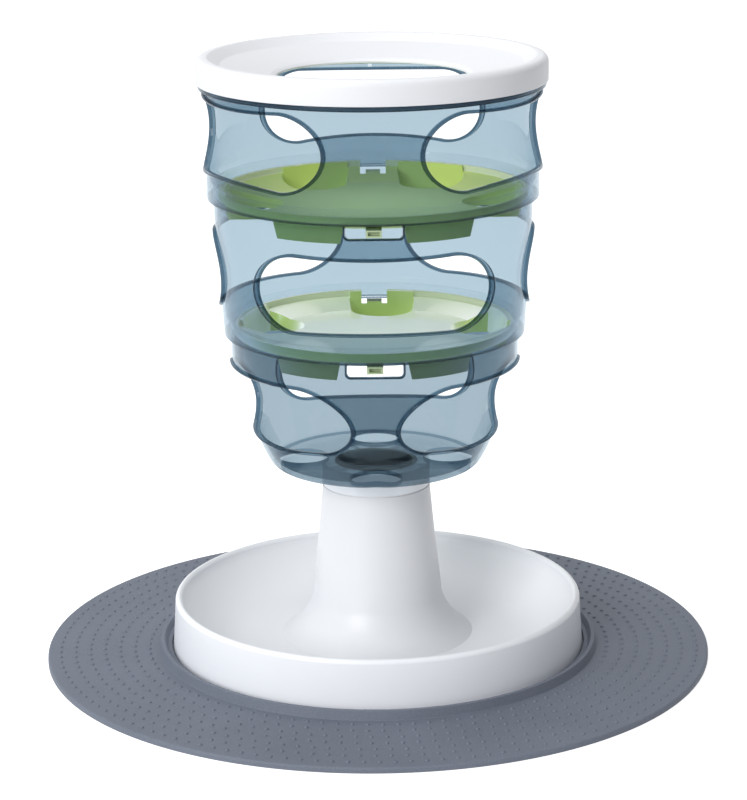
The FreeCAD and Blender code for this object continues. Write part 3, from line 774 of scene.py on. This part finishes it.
# face is how far the plate's edge lies below the rim, and reach is how far out the wells' middles are
discs = {
    "upper_disc": {
        "base": 248.0, "outer": 80.2, "rimTop": 3.4, "face": 2.9, "floor": -4.6, "reach": 62.0,
        "tabFoot": -6.1, "tabHalf": 3.95, "tabEnd": 82.9,
        "notchFrom": 68.0, "notchFoot": -4.4, "notchFirst": True,
        "wells": [                # angle of the middle, way out to the rim, radius, foot of the collar
            (-58.5, -90, 16.1, -10.8), (-121.5, -90, 16.1, -10.8), (120, 90, 17.5, -10.8),
            (60, 90, 17.5, -10.8), (0, 0, 16.5, -9.6), (180, 180, 16.5, -9.6),
        ],
        "finish": greenHigh,
    },
    "lower_disc": {
        "base": 176.0, "outer": 72.9, "rimTop": 4.8, "face": 3.2, "floor": -3.2, "reach": 58.5,
        "tabFoot": -5.0, "tabHalf": 4.1, "tabEnd": 75.6,
        "notchFrom": 66.0, "notchFoot": -2.4, "notchFirst": False,
        "wells": [
            (86, 90, 17.5, -10.4), (158, 180, 17.5, -9.6), (235, -90, 14.6, -10.4), (304, -90, 14.6, -10.4),
            (14, 0, 17.5, -9.6),
        ],
        "finish": greenLow,
    },
}

plate = {
    "segments": 240, "thick": 2.0, "flat": 58.0, "rimWidth": 1.8, "footRound": 0.3, "rimRound": 0.6,
    "faceRound": 0.8, "collarInset": 2.6, "collarWall": 1.6,
    "notchHalf": 7.0, "notchTop": 12.0, "tabRun": 14.0, "tabThick": 3.7,
    "tabFaces": 5.0, "tabInset": 2.0,                           # the tabs' faces are nearer the middle line
    "pocketHalf": 2.9, "pocketRun": 2.6, "pocketFoot": 0.9, "pocketTop": 2.9,
    "wellFoot": -14.0, "wellTop": 8.0, "backFoot": -6.0, "backSpare": 3.0,
    "beyond": 100.0, "above": 40.0,                             # cutters end well outside and over the disc
}

for discSpec in discs.values():
    discSpec["edge"] = discSpec["rimTop"] - discSpec["face"]    # the plate's height inside the rim
    discSpec["rimIn"] = discSpec["outer"] - plate["rimWidth"]
    discSpec["collarOut"] = discSpec["outer"] - plate["collarInset"]
    discSpec["wellOut"] = discSpec["collarOut"] - plate["collarWall"]
    discSpec["level"] = discSpec["floor"] + 1                   # where the wells' taper is counted from


def buildDisc(name, spec):
    looks = [spec["finish"], spec["finish"], greenPaintedSheen, greenPaintedShade]
    points, faces = discPlate(spec)
    disc = makePiece(f"{name}_plate", points, faces, looks, name, name)
    if spec["notchFirst"]:
        cutNotch(disc, spec)
    for angle, heading, radius, collarFoot in spec["wells"]:
        addWellWall(disc, spec, wellAxes(angle, heading, spec["reach"]), radius, collarFoot)
    if not spec["notchFirst"]:
        cutNotch(disc, spec)
    for side in (1, -1):
        addTab(disc, spec, side)
    for angle, heading, radius, _ in spec["wells"]:
        cutWell(disc, spec, wellAxes(angle, heading, spec["reach"]), radius)
    for side in (1, -1):
        cutPocket(disc, spec, side)
    paintDisc(disc, spec, looks)
    smooth(disc, 12)
    print(name, "built,", len(disc.data.polygons), "faces")


def discPlate(spec):
    edge = spec["edge"]
    rimIn = spec["rimIn"]
    under = spec["floor"] - plate["thick"]
    neck = spec["collarOut"] - 0.2                              # a little inside the collars
    return lathe([
        (0, under), (plate["flat"], under), (neck, edge - plate["thick"]), (neck, 0),
        (spec["outer"], 0, plate["footRound"]), (spec["outer"], spec["rimTop"], plate["rimRound"]),
        (rimIn, spec["rimTop"], plate["rimRound"]), (rimIn, edge, plate["faceRound"]),
        (plate["flat"], spec["floor"]), (0, spec["floor"]),
    ], spec["base"], plate["segments"])


def discHollow(spec):
    # all that is over the middle of the plate's thickness, inside the rim
    floor = spec["floor"] - plate["thick"] / 2
    edge = spec["edge"] - plate["thick"] / 2
    return makeCutter("dishing", *lathe([
        (0, floor), (plate["flat"], floor), (spec["rimIn"], edge), (spec["rimIn"], plate["above"]),
        (0, plate["above"]),
    ], spec["base"], plate["segments"]))


def discBack(spec):
    # the ring that each well's raised back is a part of, a little way into the plate and the rim
    inner = spec["wellOut"] - 0.1
    outer = spec["rimIn"] + 0.6
    step = spec["collarOut"] - 0.4
    innerFoot = spec["edge"] - 1.2
    stepFoot = spec["edge"] - 1
    ledge = 0.4
    top = spec["rimTop"] - 0.3
    return makeCutter("ring", *lathe([
        (inner, innerFoot), (step, stepFoot), (step, ledge), (outer, ledge), (outer, top), (inner, top),
    ], spec["base"], plate["segments"]))


def strip(half, near, far, side):
    # a rectangle that runs out over the back of a disc, or over its front where side is -1
    corners = [(-half, side * near), (half, side * near), (half, side * far), (-half, side * far)]
    return corners[::side]


def cutNotch(disc, spec):
    shape = strip(plate["notchHalf"], spec["notchFrom"], plate["beyond"], 1)
    foot = spec["base"] + spec["notchFoot"]
    cutWith(disc, prismOf("notch", shape, foot, spec["base"] + plate["notchTop"]))


def addWellWall(disc, spec, axes, radius, collarFoot):
    base = spec["base"]
    shape = wellShape(axes, radius + plate["collarWall"], spec["collarOut"])
    top = base + spec["edge"] - 0.4                             # hidden in the plate's edge
    collar = taperOf("collar", shape, axes[0], base + collarFoot, top, base + spec["level"])
    cutWith(collar, discHollow(spec))
    cutWith(disc, collar, "UNION")
    half = radius - 0.2                                         # a little narrower than the well
    shape = rimPart(axes, half, spec["wellOut"] - plate["backSpare"], spec["rimIn"] + plate["backSpare"])
    back = prismOf("back", shape, base + plate["backFoot"], base + plate["wellTop"])
    cutWith(back, discBack(spec), "INTERSECT")
    cutWith(disc, back, "UNION")


def cutWell(disc, spec, axes, radius):
    base = spec["base"]
    shape = wellShape(axes, radius, spec["wellOut"])
    foot = base + plate["wellFoot"]
    cutWith(disc, taperOf("well", shape, axes[0], foot, base + plate["wellTop"], base + spec["level"]))


def addTab(disc, spec, side):
    foot = spec["base"] + spec["tabFoot"]
    shape = strip(spec["tabHalf"], spec["collarOut"] - plate["tabRun"], spec["tabEnd"], side)
    tab = prismOf("tab", shape, foot, foot + plate["tabThick"])
    cutWith(tab, discHollow(spec))
    cutWith(disc, tab, "UNION")


def cutPocket(disc, spec, side):
    foot = spec["base"] + spec["tabFoot"]
    shape = strip(plate["pocketHalf"], spec["tabEnd"] - plate["pocketRun"], plate["beyond"], side)
    cutWith(disc, prismOf("pocket", shape, foot + plate["pocketFoot"], foot + plate["pocketTop"]))


def paintDisc(disc, spec, looks):
    rimFrom = spec["rimIn"] - plate["faceRound"]
    rimFoot = spec["edge"] - plate["faceRound"]
    tabFrom = spec["collarOut"] - plate["tabInset"]
    tabTop = spec["tabFoot"] + plate["tabThick"] + 0.1          # counts the tab's upper face in
    for face, height, radius, outward, _ in facesOf(disc, spec["base"]):
        # the rim's inner faces take the painted sheen
        if outward < 0 and radius > rimFrom and height > rimFoot:
            face.material_index = looks.index(greenPaintedSheen)
        # the tabs' faces take the painted shade
        elif abs(face.center.x) < plate["tabFaces"] * mm and radius > tabFrom and height < tabTop:
            face.material_index = looks.index(greenPaintedShade)


for discName, discSpec in discs.items():
    buildDisc(discName, discSpec)


# Lid: a ring with a rounded edge, a funnel and a hole

lid = {
    "base": 306.8, "segments": 320,
    "section": [
        (90.4, 0.7, 0.4), (90.4, 13.7, 3.6), (84.5, 13.7, 1.6),                 # edge and top
        (78, 9.6, 3.0), (51.6, 4.3, 1.6), (49.3, 3.1, 0.5), (49.3, 1.9, 0.4),   # funnel and hole
        (78, 7.2), (81.1, 0.7), (81.1, -3, 0.4), (83.5, -3, 0.4), (83.5, 0.7),  # collar inside the shell
    ],
}

points, faces = lathe(lid["section"], lid["base"], lid["segments"])
makePiece("lid_ring", points, faces, [whitePaintedShade], "lid", "lid")
print("lid built")


# Floor, light and camera

ground = {
    "reach": 6000, "level": -0.2, "dull": (0.80, 0.80, 0.80), "pale": (0.82, 0.82, 0.82), "glow": 0.62,
}

sky = {"left": (0.9, 0.93, 0.97), "right": (0.15, 0.148, 0.15)}

lamps = {
    "key": {
        "place": (-1.95, -3.1, 1.7), "target": (0, 0, 0.12), "size": 1.8, "power": 83,
        "colour": (1, 0.99, 0.98),
    },
    "top": {"place": (-0.2, 0.1, 1.8), "target": (0, 0, 0.1), "size": 1.2, "power": 9, "colour": (1, 1, 1)},
}

shot = {
    "place": (-0.001, -1.394, 0.517), "tilt": 74.76, "roll": -0.62, "lens": 122.98, "sensor": 36, "far": 50,
}


def buildFloor():
    # pale, so that it keeps the object's shadow, and lifted towards white where it is looked at
    look = Look(bpy.data.materials.new("floor"))
    cloud = look.noise(scale=3.0, detail=2.0)
    colour = look.ramp(cloud, (0.0, ground["dull"]), (1.0, ground["pale"]))
    lift = look.ramp(look.seen(), (0.0, (0, 0, 0)), (1.0, (1, 1, 1)))
    look.show(look.add("ShaderNodeBsdfPrincipled", {}, {
        "Base Color": colour, "Roughness": 0.9, "Emission Color": lift, "Emission Strength": ground["glow"],
    }))
    reach = ground["reach"]
    level = ground["level"]
    corners = [(x * reach, y * reach, level) for x, y in ((-1, -1), (1, -1), (1, 1), (-1, 1))]
    floor = makeMesh("floor", corners, [[0, 1, 2, 3]], [look.owner])


def buildWorld():
    # its light is bright from the left and dim from the right, and it looks white
    world = bpy.data.worlds.new("studio")
    bpy.context.scene.world = world
    look = Look(world)
    place = look.add("ShaderNodeTexCoord", {}, {}, "Generated")
    side = look.add("ShaderNodeSeparateXYZ", {}, {"Vector": place}) * 0.5 + 0.5
    colour = look.ramp(side, (0.0, sky["left"]), (1.0, sky["right"]))
    light = look.add("ShaderNodeBackground", {}, {"Color": colour, "Strength": 1.0})
    backdrop = look.add("ShaderNodeBackground", {}, {"Color": (1, 1, 1, 1), "Strength": 1.0})
    look.show(look.mix(look.seen(), light, backdrop), "ShaderNodeOutputWorld")


def addLamp(name, spec):
    data = bpy.data.lights.new(name, "AREA")
    data.size = spec["size"]
    data.energy = spec["power"]
    data.color = spec["colour"]
    lamp = bpy.data.objects.new(name, data)
    lamp.location = spec["place"]
    aim = Vector(spec["target"]) - Vector(spec["place"])
    lamp.rotation_euler = aim.to_track_quat("-Z", "Y").to_euler()
    bpy.context.scene.collection.objects.link(lamp)


def buildCamera():
    data = bpy.data.cameras.new("camera")
    data.sensor_fit = "AUTO"
    data.sensor_width = shot["sensor"]
    data.lens = shot["lens"]
    data.clip_end = shot["far"]
    camera = bpy.data.objects.new("camera", data)
    bpy.context.scene.collection.objects.link(camera)
    tilt = Matrix.Rotation(math.radians(shot["tilt"]), 4, "X")
    roll = Matrix.Rotation(math.radians(shot["roll"]), 4, "Z")
    camera.matrix_world = Matrix.Translation(shot["place"]) @ (tilt @ roll)
    bpy.context.scene.camera = camera


buildFloor()
buildWorld()
for lampName, lampSpec in lamps.items():
    addLamp(lampName, lampSpec)
buildCamera()
bpy.context.scene.view_settings.view_transform = "Standard"
print("stage set")
